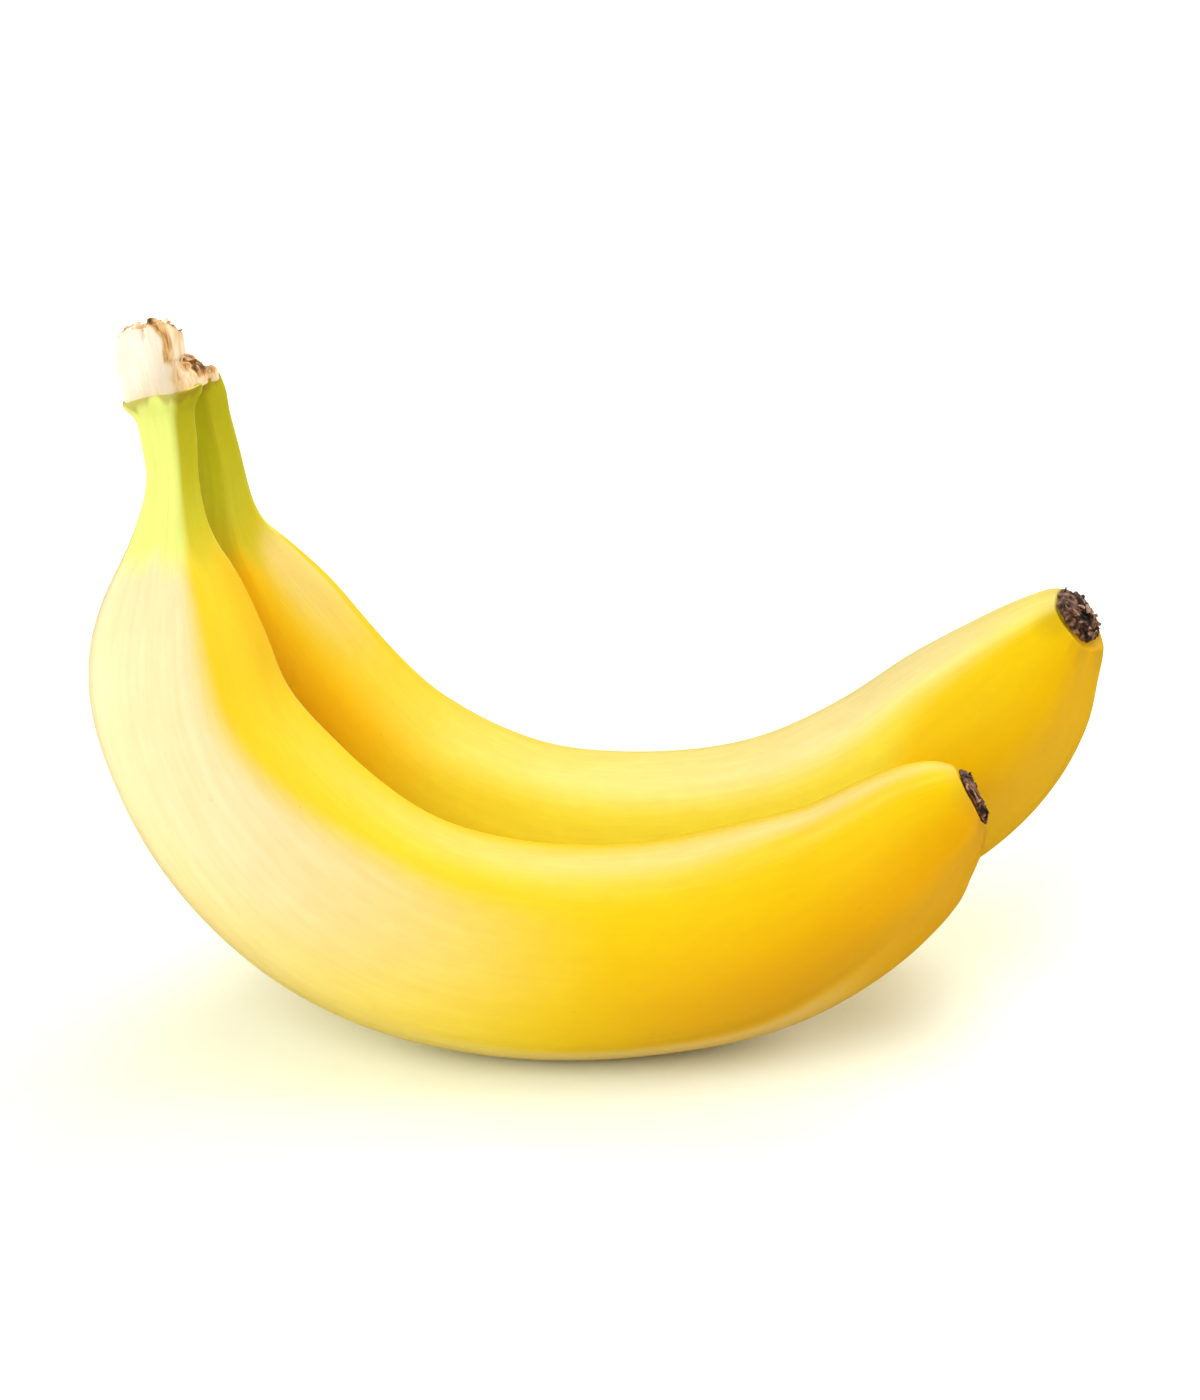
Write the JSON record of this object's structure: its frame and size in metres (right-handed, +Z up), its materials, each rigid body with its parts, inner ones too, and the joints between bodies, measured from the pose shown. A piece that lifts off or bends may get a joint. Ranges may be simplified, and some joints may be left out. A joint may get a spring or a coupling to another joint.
{
  "type": "bunch of bananas",
  "caption": "Small bunch of ripe bananas joined at a cut crown, curved and ridged, lying on their bellies with green necks up and dark blossom ends.",
  "frame": {"origin": "middle of the bounding box's underside, on the surface the bunch rests on", "axes": "+X from the crown side to the blossom ends, +Y from the near fruit to the far one, +Z up"},
  "size_m": [0.175, 0.077, 0.1303],
  "materials": {
    "peel": "smooth waxy satin skin, green at the neck and yellow on the body",
    "crown_cork": "dry pale fibrous cut tissue with browned edges",
    "dried_flower": "dry flaky dark brown crust"
  },
  "bodies": {
    "root": {"banana_front": "peel", "banana_back": "peel", "crown": "crown_cork", "blossom_end_front": "dried_flower", "blossom_end_back": "dried_flower"}
  },
  "joints": []
}
